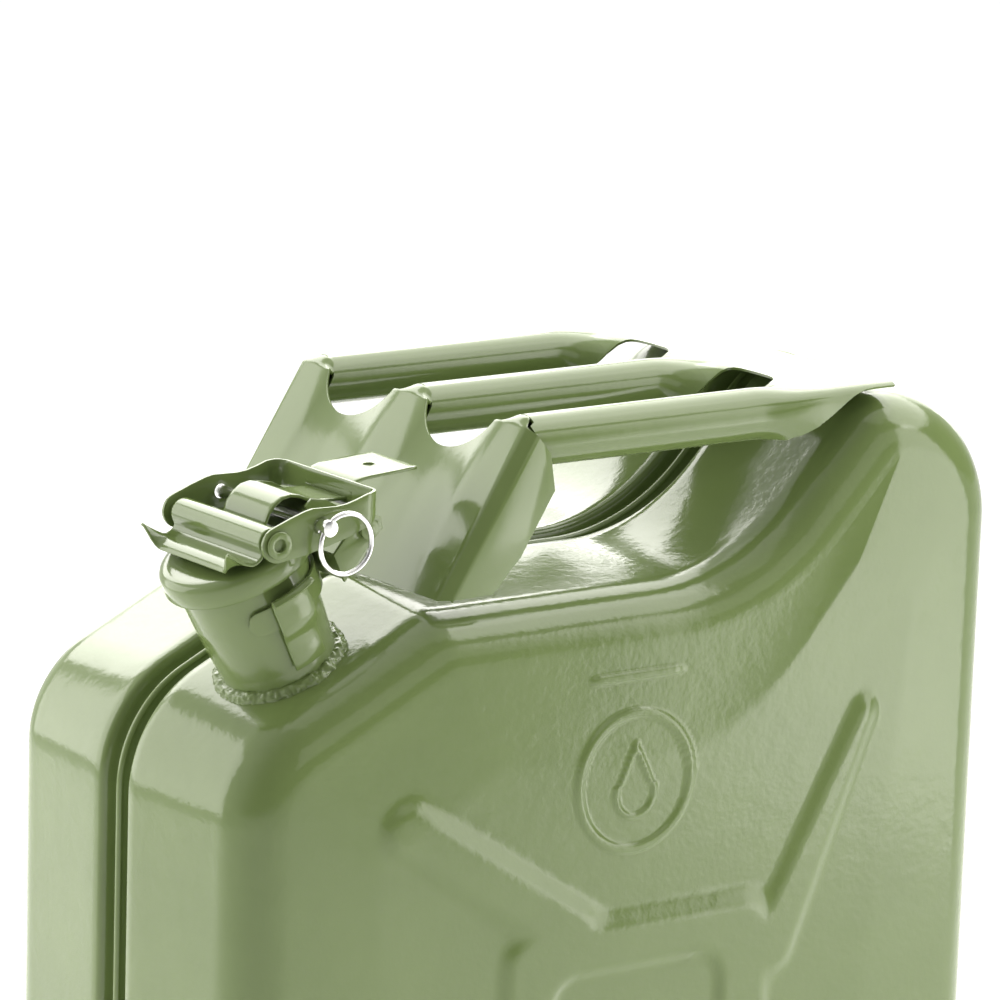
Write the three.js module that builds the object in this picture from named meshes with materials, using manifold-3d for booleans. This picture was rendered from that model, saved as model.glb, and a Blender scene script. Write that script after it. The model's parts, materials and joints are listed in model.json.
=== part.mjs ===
// Twenty-litre steel jerry can with a lever-lock filler cap.
// Units: millimetres. +X runs from the filler to the rear hump, +Z is up, the seam lies in the plane y = 0.
import * as THREE from 'three';
import Module from 'manifold-3d';

const wasm = await Module();
wasm.setup();
const { Manifold, Mesh } = wasm;

// ---- driving dimensions -------------------------------------------------------------------
const LENGTH = 345, WIDTH = 165;             // body, front to rear and face to face
const FLOOR_Z = 405.5, HUMP_Z = 464;         // recess under the handle, top of the rear hump
const SLOPE_DEG = 26;                        // shoulder that carries the filler
const WALL = 1.2, GAP = 0.3;                 // sheet, and the clearance left between pieces
const RAISED = 2, FACE = WIDTH / 2 - RAISED;  // cross pressed out of each face, and the face itself
const EDGE_R = 20, DRAFT = 4.2;              // face rounding, and how much each half narrows
const CHANNEL_HALF = 8.5, CHANNEL_DEEP = 7;  // groove that protects the seam
const LIP_TIP = 3.4, LIP_HALF = 1.3;         // seam flange in the groove
const NECK_X = -129.3, NECK_Y = -37;         // filler, beside the seam on the near half
const NECK_R = 22.6, NECK_TOP = 41.5;
const CAP_R = 27.2, CAP_LOW = 38, CAP_TOP = 46.8;
const PIVOT = [1.4, 53];                     // lever rivet, in the filler's own axes (u, h)
const HINGE = [41, 32];                      // rear hinge pin, same axes
const ARM_V = 31;                            // lever arms, either side of the filler's centre
const BAR_R = 9.5, BAR_Y = 62, BAR_Z = 457.5; // handle bars
const PLATE_FOOT = [-85.5, 406.2], PLATE_HEAD = [-49.5, 463.6];
const REAR_Z = 465.3, HANDLE_HALF = 73.1;

// ---- helpers ------------------------------------------------------------------------------
const rad = (d) => d * Math.PI / 180;
const V2 = (x, y) => new THREE.Vector2(x, y);
const V3 = (x, y, z) => new THREE.Vector3(x, y, z);

const root = new THREE.Group();
root.name = 'jerry_can';
const PAINT = new THREE.MeshStandardMaterial({ color: 0x86956a, metalness: 0.1, roughness: 0.35 });
const STEEL = new THREE.MeshStandardMaterial({ color: 0xc9ccce, metalness: 1.0, roughness: 0.25 });
const RUBBER = new THREE.MeshStandardMaterial({ color: 0x1d1d1c, roughness: 0.8 });

function add(name, geometry, material = PAINT) {
  const mesh = new THREE.Mesh(geometry, material);
  mesh.name = name;
  root.add(mesh);
}

function weld(geometry) {            // merge equal corners so the surface is closed
  const pos = geometry.getAttribute('position'), index = geometry.getIndex();
  const n = index ? index.count : pos.count, seen = new Map(), points = [], faces = [];
  for (let i = 0; i < n; i += 3) {
    const tri = [];
    for (let k = 0; k < 3; k++) {
      const j = index ? index.getX(i + k) : i + k;
      const p = [pos.getX(j), pos.getY(j), pos.getZ(j)];
      const key = p.map((c) => Math.round(c * 1e4)).join();
      if (!seen.has(key)) { seen.set(key, points.length / 3); points.push(...p); }
      tri.push(seen.get(key));
    }
    if (tri[0] !== tri[1] && tri[1] !== tri[2] && tri[2] !== tri[0]) faces.push(...tri);
  }
  const out = new THREE.BufferGeometry();
  out.setAttribute('position', new THREE.Float32BufferAttribute(points, 3));
  out.setIndex(faces);
  return out;
}

function solid(geometry) {
  const g = weld(geometry);
  const m = new Manifold(new Mesh({ numProp: 3, vertProperties: new Float32Array(g.getAttribute('position').array),
    triVerts: new Uint32Array(g.getIndex().array) }));
  return m;
}

function shaped(m) {                 // solid back to a drawable surface
  const mesh = m.getMesh();
  const g = new THREE.BufferGeometry();
  g.setAttribute('position', new THREE.Float32BufferAttribute(Array.from(mesh.vertProperties), 3));
  g.setIndex(Array.from(mesh.triVerts));
  g.computeVertexNormals();
  return g;
}

const plus = (...s) => s.reduce((a, b) => Manifold.union(a, b));
const minus = (a, ...s) => s.reduce((x, b) => Manifold.difference(x, b), a);
const box = (x0, x1, y0, y1, z0, z1) =>
  solid(new THREE.BoxGeometry(x1 - x0, y1 - y0, z1 - z0)
    .translate((x0 + x1) / 2, (y0 + y1) / 2, (z0 + z1) / 2));

// plate whose outline is drawn in X and Z, between two values of y
function plateXZ(points, y0, y1, holes = []) {
  const line = points.map(([x, z]) => V2(x, z));
  if (THREE.ShapeUtils.isClockWise(line)) line.reverse();
  const shape = new THREE.Shape(line);
  for (const [x, z, r] of holes) {
    shape.holes.push(new THREE.Path().absarc(x, z, r, 0, 2 * Math.PI, true));
  }
  const g = new THREE.ExtrudeGeometry(shape, { depth: y1 - y0, bevelEnabled: false, curveSegments: 16 });
  return solid(g.rotateX(Math.PI / 2).translate(0, y1, 0));
}

// plate whose outline is drawn in X and Y, between two heights
function plateXY(points, z0, z1) {
  const shape = new THREE.Shape(points.map(([x, y]) => V2(x, y)));
  return solid(new THREE.ExtrudeGeometry(shape, { depth: z1 - z0, bevelEnabled: false }).translate(0, 0, z0));
}

const rodY = (x, z, r, y0, y1, seg = 28) =>
  solid(new THREE.CylinderGeometry(r, r, y1 - y0, seg).translate(x, (y0 + y1) / 2, z));
const rodX = (y, z, r, x0, x1, seg = 32) =>
  solid(new THREE.CylinderGeometry(r, r, x1 - x0, seg).rotateZ(Math.PI / 2).translate((x0 + x1) / 2, y, z));
const rodZ = (x, y, r, z0, z1, seg = 48) =>
  solid(new THREE.CylinderGeometry(r, r, z1 - z0, seg).rotateX(Math.PI / 2).translate(x, y, (z0 + z1) / 2));
const turned = (profile, seg = 44) =>
  solid(upright(weld(new THREE.LatheGeometry(profile.map(([r, z]) => V2(r, z)), seg).rotateX(Math.PI / 2))));

const arc = (x, z, r, a0, a1, n) =>
  Array.from({ length: n + 1 }, (_, i) => {
    const a = rad(a0 + (a1 - a0) * i / n);
    return [x + r * Math.cos(a), z + r * Math.sin(a)];
  });

// strip of sheet that follows a line, thick on its left side
function strip(line, thick) {
  const side = line.map((p, i) => {
    const a = line[Math.max(i - 1, 0)], b = line[Math.min(i + 1, line.length - 1)];
    const d = Math.hypot(b[0] - a[0], b[1] - a[1]);
    return [p[0] - thick * (b[1] - a[1]) / d, p[1] + thick * (b[0] - a[0]) / d];
  });
  return [...line, ...side.reverse()];
}

// hollow tube along a curve, open at both ends
function hose(points, r, wall, steps, seg = 14) {
  const curve = new THREE.CatmullRomCurve3(points.map((p) => V3(...p)), false, 'catmullrom', 0.3);
  const frames = curve.computeFrenetFrames(steps, false);
  const skins = [r, r - wall].map((q) => Array.from({ length: steps + 1 }, (_, i) => {
    const c = curve.getPointAt(i / steps);
    return Array.from({ length: seg }, (_, k) => {
      const a = 2 * Math.PI * k / seg;
      return c.clone().addScaledVector(frames.normals[i], q * Math.cos(a))
        .addScaledVector(frames.binormals[i], q * Math.sin(a));
    });
  }));
  const rings = [...skins[0], ...skins[1].reverse()];
  return loft([...rings, rings[0]]);
}

// skin through rings of equal length; repeat the first ring to close it, or ask for end caps
function loft(rings, caps = false) {
  const pts = [], faces = [], n = rings[0].length;
  const closed = rings[rings.length - 1] === rings[0];
  const count = closed ? rings.length - 1 : rings.length;
  for (let i = 0; i < count; i++) for (const p of rings[i]) pts.push(p.x, p.y, p.z);
  for (let i = 0; i + 1 < rings.length; i++) {
    const a = i * n, b = ((i + 1) % count) * n;
    for (let k = 0; k < n; k++) {
      const l = (k + 1) % n;
      faces.push(a + k, a + l, b + k, a + l, b + l, b + k);
    }
  }
  if (caps) {
    const cover = (start, ring, spin) => {
      const flat = ring.map((p) => V2(p.x, p.z));
      for (const [i, j, k] of THREE.ShapeUtils.triangulateShape(flat, [])) {
        const area = flat[j].clone().sub(flat[i]).cross(flat[k].clone().sub(flat[i]));
        faces.push(...(area * spin > 0 ? [start + i, start + j, start + k] : [start + k, start + j, start + i]));
      }
    };
    cover(0, rings[0], -1);
    cover((count - 1) * n, rings[count - 1], 1);
  }
  const g = new THREE.BufferGeometry();
  g.setAttribute('position', new THREE.Float32BufferAttribute(pts, 3));
  g.setIndex(faces);
  return g;
}

function upright(geometry) {         // turn a surface right side out
  const p = geometry.getAttribute('position'), f = geometry.getIndex().array;
  let volume = 0;
  const at = (i) => V3(p.getX(i), p.getY(i), p.getZ(i));
  for (let i = 0; i < f.length; i += 3) volume += at(f[i]).dot(at(f[i + 1]).cross(at(f[i + 2])));
  if (volume < 0) for (let i = 0; i < f.length; i += 3) [f[i], f[i + 1]] = [f[i + 1], f[i]];
  return geometry;
}

// ---- body outline: a polygon with rounded corners, which can be drawn smaller ---------------
const HALF = LENGTH / 2;
const slope = Math.tan(rad(SLOPE_DEG));
const CORNERS = [                    // x, z, radius, number of points
  [-HALF, 0, 45, 8], [HALF, 0, 45, 8], [HALF, HUMP_Z, 55, 10], [106, HUMP_Z, 26, 7],
  [50, FLOOR_Z, 80, 7], [-87, FLOOR_Z, 30, 5], [-HALF, FLOOR_Z - slope * (HALF - 87), 48, 8],
];

function outline(inset, y, foot = inset) {   // foot: how far the bottom side moves in
  const n = CORNERS.length;
  const lines = CORNERS.map(([x, z], i) => {
    const [x2, z2] = CORNERS[(i + 1) % n];
    const d = Math.hypot(x2 - x, z2 - z);
    const nx = -(z2 - z) / d, nz = (x2 - x) / d, move = i === 0 ? foot : inset;
    return { nx, nz, c: nx * x + nz * z + move };
  });
  const ring = [];
  CORNERS.forEach(([, , r, m], i) => {
    const p = lines[(i + n - 1) % n], q = lines[i];
    const det = p.nx * q.nz - p.nz * q.nx;
    const x = (p.c * q.nz - q.c * p.nz) / det, z = (p.nx * q.c - q.nx * p.c) / det;
    const bend = det > 0 ? 1 : -1;           // -1 where the outline turns inwards
    const radius = Math.max(r - bend * inset, 2.5);
    const cx = x + bend * radius * (p.nx + q.nx) / (1 + p.nx * q.nx + p.nz * q.nz);
    const cz = z + bend * radius * (p.nz + q.nz) / (1 + p.nx * q.nx + p.nz * q.nz);
    const a0 = Math.atan2(-bend * p.nz, -bend * p.nx);
    let turn = Math.atan2(-bend * q.nz, -bend * q.nx) - a0;
    if (bend > 0 && turn < 0) turn += 2 * Math.PI;
    if (bend < 0 && turn > 0) turn -= 2 * Math.PI;
    for (let k = 0; k < m; k++) {
      const a = a0 + turn * k / (m - 1);
      ring.push(V3(cx + radius * Math.cos(a), y, cz + radius * Math.sin(a)));
    }
  });
  return ring;
}

// how far the outline has narrowed at a distance from the seam plane
const narrow = (y) => DRAFT * Math.max(0, Math.abs(y) - CHANNEL_HALF) / (FACE - EDGE_R - CHANNEL_HALF);

// one pressed half: outside skin from the face to the lip, then the inside skin back again
function half(side) {
  const w = FACE, rings = [];
  const put = (y, inset, foot) => rings.push(outline(inset, side * y, foot));
  for (const a of [90, 68, 45, 22, 0]) {
    const r = EDGE_R * (1 - Math.cos(rad(a)));
    put(w - EDGE_R * (1 - Math.sin(rad(a))), DRAFT + r, r);
  }
  put(CHANNEL_HALF + 2, narrow(CHANNEL_HALF + 2), 0);
  put(CHANNEL_HALF + 0.6, 0.5, 0.5);
  put(CHANNEL_HALF - 0.6, 2.4, 2.4);
  put(CHANNEL_HALF - 1.4, CHANNEL_DEEP - 1, CHANNEL_DEEP - 1);
  put(CHANNEL_HALF - 3, CHANNEL_DEEP, CHANNEL_DEEP);
  put(LIP_HALF, CHANNEL_DEEP, CHANNEL_DEEP);
  put(LIP_HALF, LIP_TIP, LIP_TIP);
  put(0.15, LIP_TIP, LIP_TIP);
  put(0.15, CHANNEL_DEEP + WALL, CHANNEL_DEEP + WALL);
  put(CHANNEL_HALF - 2.4, CHANNEL_DEEP + WALL, CHANNEL_DEEP + WALL);
  put(CHANNEL_HALF + 0.8, 3.4 + WALL, 3.4 + WALL);
  put(CHANNEL_HALF + 2.4, WALL + 0.3, WALL);
  for (const a of [0, 30, 60, 90]) {
    const r = (EDGE_R - WALL) * (1 - Math.cos(rad(a))) + WALL;
    put(w - EDGE_R + (EDGE_R - WALL) * Math.sin(rad(a)), DRAFT + r, r);
  }
  return solid(upright(loft(rings, true)));
}

// ---- pressed features of a face --------------------------------------------------------------
const rounded = (x0, z0, x1, z1, width) => {         // a stadium between two points
  const a = Math.atan2(z1 - z0, x1 - x0) * 180 / Math.PI;
  return [...arc(x1, z1, width / 2, a - 90, a + 90, 6), ...arc(x0, z0, width / 2, a + 90, a + 270, 6)];
};
// a shape that stands out of the face
const pressed = (shell, side, shape, depth, holes = []) =>
  plus(shell, plateXZ(shape, ...[side * (FACE - WALL / 2), side * (FACE + depth)].sort((a, b) => a - b), holes));

function withFace(shell, side) {
  let s = pressed(shell, side, rounded(-21, 371.5, 15, 371.5, 4), 0.9);
  s = pressed(s, side, arc(-3.5, 333, 27, 0, 360, 36).slice(0, -1), 0.9, [[-3.5, 333, 23.5]]);
  for (const [x, z, x2, z2] of [[-102, 326, -30, 280], [96, 343, 56, 262], [-102, 84, -30, 130], [96, 67, 56, 148]]) {
    s = pressed(s, side, rounded(x, z, x2, z2, 22), RAISED);
  }
  const block = [[-56, 284], [-20, 288], [56, 286], [66, 240], [66, 170], [56, 124], [-20, 122], [-56, 126]];
  const panel = [[-38, 256], [38, 256], [38, 154], [-38, 154]];
  return minus(pressed(s, side, block, RAISED), plateXZ(panel, ...[side * FACE, side * (FACE + 5)].sort((a, b) => a - b)));
}

// ---- filler axes: u up the shoulder, v across, h away from the shoulder ----------------------
const FILLER = new THREE.Matrix4().makeTranslation(NECK_X, NECK_Y, FLOOR_Z - slope * (-87 - NECK_X))
  .multiply(new THREE.Matrix4().makeRotationY(rad(-SLOPE_DEG)));
const there = (m) => m.transform(FILLER.elements);
const world = (u, v, h) => V3(u, v, h).applyMatrix4(FILLER).toArray();

const shellNear = minus(withFace(half(-1), -1), there(rodZ(0, 0, NECK_R + 0.5, -14, 8)));
add('shell_near', shaped(shellNear));
add('shell_far', shaped(withFace(half(1), 1)));

{ // bead that joins the two lips all the way round
  const rings = [[-LIP_HALF, LIP_TIP - GAP], [-LIP_HALF, LIP_TIP - 1.2], [0, LIP_TIP - 1.9],
    [LIP_HALF, LIP_TIP - 1.2], [LIP_HALF, LIP_TIP - GAP]].map(([y, d]) => outline(d, y));
  add('seam_weld', shaped(solid(upright(loft([...rings, rings[0]])))));
}

// ---- filler neck -----------------------------------------------------------------------------
add('neck', shaped(there(turned([[NECK_R - 1.2, -8], [NECK_R, -8], [NECK_R, 14], [NECK_R + 0.5, 34],
  [NECK_R + 0.5, NECK_TOP - 1.5], [NECK_R + 1.3, NECK_TOP - 0.6], [NECK_R + 1.3, NECK_TOP],
  [NECK_R - 0.7, NECK_TOP], [NECK_R - 0.7, 34], [NECK_R - 1.2, 14], [NECK_R - 1.2, -8]]))));

{ // weld around the neck's foot; it follows the narrowing of the half it sits on
  const seg = 44, rings = [];
  for (let i = 0; i < seg; i++) {
    const a = 2 * Math.PI * i / seg, ring = [];
    for (const [r, h] of [[0.3, 0.5], [3.6, 0.5], [2.6, 1.9], [1.1, 2.9], [0.3, 3.2]]) {
      const q = NECK_R + r, v = q * Math.sin(a);
      ring.push(V3(...world(q * Math.cos(a), v, h - narrow(NECK_Y + v))));
    }
    rings.push(ring);
  }
  add('neck_weld', shaped(solid(upright(loft([...rings, rings[0]])))));
}

{ // open band behind the neck; its rounded ends show in front of the lugs
  const r0 = NECK_R + 0.9, r1 = r0 + 1.2, open = 54;
  const ring = minus(rodZ(0, 0, r1, 21.5, 30.5), rodZ(0, 0, r0, 20, 32));
  const wedge = plateXY([[0, 0], [-80 * Math.cos(rad(open)), 80 * Math.sin(rad(open))],
    [-80 * Math.cos(rad(open)), -80 * Math.sin(rad(open))]], 19, 33);
  add('neck_band', shaped(there(minus(ring, wedge))));
}

function lug(side) { // strap on the neck's side, turned out at the top to hold the closed lever
  const line = [[25.2, 4], [25.2, 31.5], [25.7, 33.6], [27.2, 34.9], [29.2, 34.4]];
  const g = strip(line, -1.1).map(([v, h]) => V2(v, h));
  const geo = new THREE.ExtrudeGeometry(new THREE.Shape(g), { depth: 15, bevelEnabled: false });
  geo.applyMatrix4(new THREE.Matrix4().set(0, 0, 1, -7, 1, 0, 0, 0, 0, 1, 0, 0, 0, 0, 0, 1));
  return there(side > 0 ? solid(geo) : solid(geo.rotateZ(Math.PI).translate(1, 0, 0)));
}
add('lug_near', shaped(lug(-1)));
add('lug_far', shaped(lug(1)));

// ---- rear hinge ------------------------------------------------------------------------------
const [HU, HH] = HINGE;
{
  const ear = [[25.2, 20], [30, 22], [39, 26.5], [46.5, 29], [47.5, 33], [45, 36.6], [40, 37.4],
    [33, 34.5], [25.2, 31]];
  const parts = [-1, 1].map((s) => plateXZ(ear, Math.min(s * 18.8, s * 20), Math.max(s * 18.8, s * 20),
    [[HU, HH, 2.4]]));
  add('hinge_bracket', shaped(there(plus(...parts, box(25.2, 26.4, -19.5, 19.5, 21, 30.5)))));
}
add('hinge_pin', shaped(there(plus(rodY(HU, HH, 2.1, -22, 22, 20), rodY(HU, HH, 3.6, 20.3, 21.8, 20),
  rodY(HU, HH, 3.6, -21.8, -20.3, 20)))));

// ---- vent tube inside the can ----------------------------------------------------------------
add('vent_tube', shaped(solid(upright(hose([world(14.5, 0, 38), world(14.5, 0, 16), world(14.5, 0, -10),
  [-96, NECK_Y, 372], [-60, NECK_Y, 384], [0, NECK_Y, 390], [45, NECK_Y, 392], [80, NECK_Y, 411],
  [101, NECK_Y, 441]], 4, 0.9, 26, 10)))));
add('vent_clip', shaped(there(minus(plus(rodZ(14.5, 0, 5.5, 24, 30, 24), box(14.5, 20.4, -3, 3, 24, 30)),
  rodZ(14.5, 0, 4.3, 20, 34, 24)))));

// ---- cap and what turns with it --------------------------------------------------------------
const [PU, PH] = PIVOT;
add('cap', shaped(there(turned([[0, CAP_TOP], [0, CAP_TOP - 1], [CAP_R - 2.6, CAP_TOP - 1],
  [CAP_R - 1.3, CAP_TOP - 2.4], [CAP_R - 1, CAP_LOW], [CAP_R, CAP_LOW], [CAP_R, CAP_TOP - 2.2],
  [CAP_R - 0.7, CAP_TOP - 0.7], [CAP_R - 2.4, CAP_TOP], [0, CAP_TOP]].reverse()))));
add('cap_gasket', shaped(there(turned([[16, NECK_TOP + GAP], [24.4, NECK_TOP + GAP],
  [24.4, CAP_TOP - 1 - GAP], [16, CAP_TOP - 1 - GAP], [16, NECK_TOP + GAP]]))), RUBBER);

{ // arms from the cap's rear edge down to the hinge
  const side = [[24, 47.3], [28.6, 47.2], [29.4, 45.5], [34, 40], [36, 34], [37, 29.5], [41, 27.5],
    [45, 29.5], [46, 32.4], [44, 35.2], [39.6, 37.8], [36.4, 43], [32, 49], [27, 52.6], [23.6, 51.6]];
  const walls = [-1, 1].map((s) => plateXZ(side, Math.min(s * 16, s * 17.2), Math.max(s * 16, s * 17.2),
    [[HU, HH, 2.4]]));
  const back = plateXZ(strip([[23.8, 47.2], [28.8, 47.2], [32.2, 43.4], [35.6, 39.4]], 1.1), -16.6, 16.6);
  add('hinge_arms', shaped(there(plus(...walls, back))));
}

{ // thumb plate: a sheet wrapped round the pivot tube, lying on the cap, its front corners turned up
  const line = [...arc(PU, PH, 3.9, -60, 205, 16).reverse(), ];
  const wrap = strip([[-17, 48.2], [-12, 47.4], [-7, 47.5], [-3.6, 49.6], ...line], 0);
  const outer = [...arc(PU, PH, 5.1, -60, 188, 16)];
  const inner = [...arc(PU, PH, 3.9, 188, -60, 16)];
  const sheet = [[-18.5, 48.4], [-12.5, 47.1], [-6.5, 47.1], [-2.6, 49.2]];
  const body = [...outer, [-4.6, 50.8], [-7, 48.3], [-12.2, 48.3], [-18.2, 49.6], ...sheet,
    [-2.3, 51.2], ...inner];
  const ear = [[-18.5, 48.4], [-14, 47.8], [-15.4, 51], [-18.2, 55.5], [-20.4, 56.6], [-21, 53]];
  add('thumb_plate', shaped(there(plus(plateXZ(body, -27.5, 27.5), plateXZ(ear, 24.5, 27.5),
    plateXZ(ear, -27.5, -24.5)))));
}
{ // hollow rivet
  const head = (s) => rodY(PU, PH, 4.9, Math.min(s * (ARM_V + 0.9), s * (ARM_V + 2)),
    Math.max(s * (ARM_V + 0.9), s * (ARM_V + 2)), 24);
  add('pivot_tube', shaped(there(minus(plus(rodY(PU, PH, 3.5, -ARM_V - 1.5, ARM_V + 1.5), head(1), head(-1)),
    rodY(PU, PH, 2.3, -ARM_V - 4, ARM_V + 4)))));
}

// ---- lever, drawn about its rivet with x and z along the can's own axes ------------------------
const [PX, , PZ] = world(PU, 0, PH);
const move = (list) => list.map(([x, z, ...r]) => [PX + x, PZ + z, ...r]);
const PIN = [17.3, 5];
{
  const arm = move([...arc(0, 0, 6.3, 270, 115, 9), [5, 8.6], [13, 11.2], [26, 10.8], [40, 14.4], [43, 14.4],
    [43, 4.1], [27, -0.9], [12, -4.6]]);
  const holes = move([[0, 0, 3.9], [...PIN, 2.7]]);
  const arms = [-1, 1].map((s) => plateXZ(arm, NECK_Y + s * ARM_V - 0.6, NECK_Y + s * ARM_V + 0.6, holes));
  const back = box(PX + 41.8, PX + 43, NECK_Y - ARM_V, NECK_Y + ARM_V, PZ + 5.2, PZ + 14.4);
  const tab = plateXZ(move(strip([[42.4, 13.2], [46, 13.6], [52, 16.4], [69, 18.4]], 1.2)),
    NECK_Y - 14, NECK_Y + 14);
  const slot = plateXY([...arc(PX + 60, NECK_Y - 1, 1.4, 180, 360, 8), ...arc(PX + 60, NECK_Y + 1, 1.4, 0, 180, 8)],
    PZ + 10, PZ + 25);
  add('lever_yoke', shaped(minus(plus(...arms, back, tab), slot)));
}
{ // spine of the lever: rises from the rear wall, passes over the pin and ends behind the pivot
  const line = [[41.4, 9.2], [30, 9.4], [25, 10.2], ...arc(17.3, 4, 6.4, 62, 150, 6), [8.4, 3.2], [7.2, 0.4]];
  add('lever_strap', shaped(plateXZ(move(strip(line, -1.1)), NECK_Y - 9, NECK_Y + 9)));
}

{ // pin, pushed through both arms, with a drilled head
  const x = PX + PIN[0], z = PZ + PIN[1], y0 = NECK_Y - ARM_V, y1 = NECK_Y + ARM_V;
  const body = plus(rodY(x, z, 2.2, y0 - 6.6, y1 + 1.6, 20), rodY(x, z, 2.9, y0 - 6.6, y0 - 1, 20));
  const away = [Math.cos(rad(-39)), Math.sin(rad(-39))], R = 10.5;
  const cx = x + R * away[0], cz = z + R * away[1], y = y0 - 4;
  const ring = (r) => solid(new THREE.TorusGeometry(R, r, 8, 36).rotateX(Math.PI / 2).translate(cx, y, cz));
  const bore = solid(new THREE.CylinderGeometry(1.75, 1.75, 12, 20).rotateX(Math.PI / 2).rotateY(rad(39))
    .translate(x, y, z));
  add('safety_pin', shaped(minus(body, bore)), STEEL);
  add('split_ring', shaped(ring(1.0)), STEEL);
}

// ---- handle ------------------------------------------------------------------------------------
const [FX, FZ] = PLATE_FOOT, [TX, TZ] = PLATE_HEAD;
const tilt = Math.atan2(TZ - FZ, TX - FX), rise = Math.hypot(TX - FX, TZ - FZ);
{ // slanted front: drawn flat (y across, s up the slant), then leant back; its sides fold rearwards
  const scoop = (y) => arc(y, rise, 17, 350, 190, 12);       // cut-outs between the bars
  const flat = [[-HANDLE_HALF, 0], [HANDLE_HALF, 0], [HANDLE_HALF, rise - 2], [HANDLE_HALF - 2, rise],
    ...scoop(BAR_Y / 2), ...scoop(-BAR_Y / 2), [2 - HANDLE_HALF, rise], [-HANDLE_HALF, rise - 2]];
  const plate = plateXY(flat, 0, WALL).transform(new THREE.Matrix4().makeTranslation(FX, 0, FZ)
    .multiply(new THREE.Matrix4().makeRotationY(-tilt))
    .multiply(new THREE.Matrix4().set(0, 1, 0, 0, 1, 0, 0, 0, 0, 0, -1, 0, 0, 0, 0, 1)).elements);
  const flange = [[FX + 1, FZ + 0.4], [TX - 0.6, TZ - 2], [TX + 4, TZ - 7], [TX + 11, TZ - 19], [TX + 2, TZ - 38],
    [TX - 10, FZ + 1]];
  const sides = [-1, 1].map((s) => plateXZ(flange, Math.min(s * HANDLE_HALF, s * (HANDLE_HALF - WALL)),
    Math.max(s * HANDLE_HALF, s * (HANDLE_HALF - WALL))));
  add('handle_front', shaped(plus(plate, ...sides)));
}
const REAR_X = 74;
for (const [name, y] of [['near', -BAR_Y], ['mid', 0], ['far', BAR_Y]]) {
  // rolled tube with an open slit below; its front end leans with the plate
  const tube = minus(rodX(y, BAR_Z, BAR_R, FX, REAR_X), rodX(y, BAR_Z, BAR_R - WALL, FX - 5, REAR_X + 5),
    box(FX - 5, REAR_X + 5, y - 0.7, y + 0.7, BAR_Z - BAR_R - 2, BAR_Z));
  const c = Math.cos(tilt), s = Math.sin(tilt);
  const front = plateXZ([[FX - 30 * c, FZ - 30 * s], [TX + 30 * c, TZ + 30 * s], [TX - 80, TZ + 60], [FX - 80, FZ]]
    .map(([x, z]) => [x + (WALL + GAP) * s, z - (WALL + GAP) * c]), y - 20, y + 20);
  add(`handle_bar_${name}`, shaped(minus(tube, front)));
}
{ // rear plate on the hump, with a rounded bay behind each gap between the bars
  const x0 = REAR_X + GAP, x1 = 118, bay = (y) => [[x0, y + 20], ...arc(x0 + 9, y, 19, 90, -90, 12), [x0, y - 20]];
  const flat = [[x1, -HANDLE_HALF + 8], [x1 - 8, -HANDLE_HALF], [x0, -HANDLE_HALF], ...bay(-BAR_Y / 2).reverse(),
    ...bay(BAR_Y / 2).reverse(), [x0, HANDLE_HALF], [x1 - 8, HANDLE_HALF], [x1, HANDLE_HALF - 8]];
  const flange = [[x0, REAR_Z - 16], [x0 + 8, REAR_Z - 14], [x0 + 17, REAR_Z - 7], [x0 + 26, REAR_Z - 2],
    [x1 - 9, REAR_Z - 0.6], [x1 - 9, REAR_Z], [x0, REAR_Z]];
  const sides = [-1, 1].map((s) => plateXZ(flange, Math.min(s * HANDLE_HALF, s * (HANDLE_HALF - WALL)),
    Math.max(s * HANDLE_HALF, s * (HANDLE_HALF - WALL))));
  add('handle_rear', shaped(plus(plateXY(flat, REAR_Z - 1.1, REAR_Z), ...sides)));
}

export default root;
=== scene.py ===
import json
import math

import bmesh
import bpy
import numpy as np
from mathutils import Matrix, Vector, noise


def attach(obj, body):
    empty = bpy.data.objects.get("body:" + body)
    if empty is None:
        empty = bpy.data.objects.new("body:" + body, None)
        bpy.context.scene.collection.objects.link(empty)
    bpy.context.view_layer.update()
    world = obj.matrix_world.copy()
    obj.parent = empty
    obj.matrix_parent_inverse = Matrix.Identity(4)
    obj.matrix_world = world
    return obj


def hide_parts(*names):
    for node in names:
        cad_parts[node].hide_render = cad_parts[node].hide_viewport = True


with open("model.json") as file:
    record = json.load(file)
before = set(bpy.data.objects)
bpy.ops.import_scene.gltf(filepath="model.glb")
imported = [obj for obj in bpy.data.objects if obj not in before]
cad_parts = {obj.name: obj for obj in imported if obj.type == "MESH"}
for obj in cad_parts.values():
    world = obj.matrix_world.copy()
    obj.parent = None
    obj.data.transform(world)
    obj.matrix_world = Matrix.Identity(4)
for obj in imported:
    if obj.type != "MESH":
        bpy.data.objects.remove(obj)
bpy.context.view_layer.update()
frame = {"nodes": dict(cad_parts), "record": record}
scene = bpy.context.scene
MM = 0.001

# Dimensions of the can, in millimetres, as in part.mjs.
LENGTH, WIDTH, FLOOR_Z, HUMP_Z, SLOPE_DEG, SLOPE_X = 345, 165, 405.5, 464, 26, 87
EDGE_R, DRAFT, RAISED = 20, 4.2, 2.0
FACE = WIDTH / 2 - RAISED
CHANNEL_HALF, LIP_TIP, LIP_HALF = 8.5, 3.4, 1.3
NECK_X, NECK_Y, NECK_TOP = -129.3, -37, 41.5
CAP_R, CAP_LOW, CAP_TOP = 27.2, 38, 46.8
PIVOT, ARM_V = (1.4, 53), 31
BAR_R, BAR_Y, BAR_Z = 9.5, 62, 457.5
PLATE_FOOT, PLATE_HEAD = (-85.5, 406.2), (-49.5, 463.6)
REAR_Z, HANDLE_HALF = 465.3, 73.1
HALF = LENGTH / 2
SLOPE = math.tan(math.radians(SLOPE_DEG))


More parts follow.
